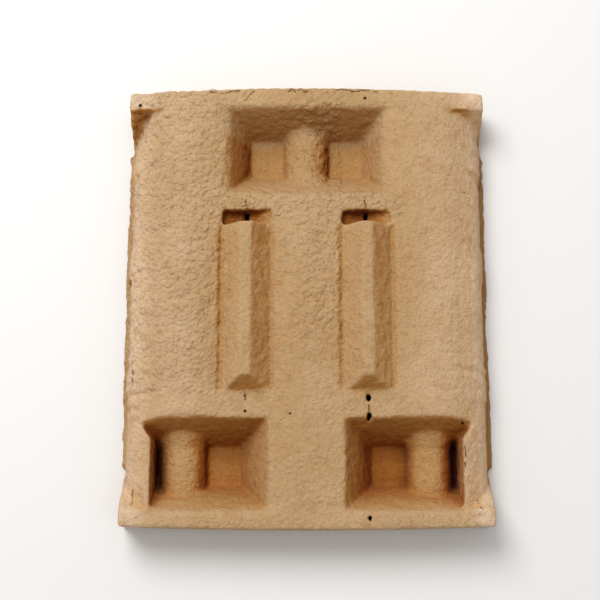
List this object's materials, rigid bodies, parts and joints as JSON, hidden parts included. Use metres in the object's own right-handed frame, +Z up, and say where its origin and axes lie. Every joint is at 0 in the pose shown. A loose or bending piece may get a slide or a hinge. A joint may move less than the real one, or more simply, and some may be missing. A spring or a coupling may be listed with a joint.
{
  "type": "pulp bottle shipper insert",
  "caption": "Moulded-pulp tray that cradles wine-size bottles laid side by side, alternate ones turned end for end; long cushion bars stand on its outer side.",
  "frame": {"origin": "middle of the tray's footprint, on the rim plane it rests on", "axes": "+X across the bottles, +Y along the bottles towards the end with one neck, +Z up to the outer side with the cushion bars"},
  "size_m": [0.29, 0.346, 0.056],
  "materials": {
    "moulded_pulp": "rough uncoated kraft moulded fibre, matt"
  },
  "bodies": {
    "root": {"pulp_tray": "moulded_pulp"}
  },
  "joints": []
}
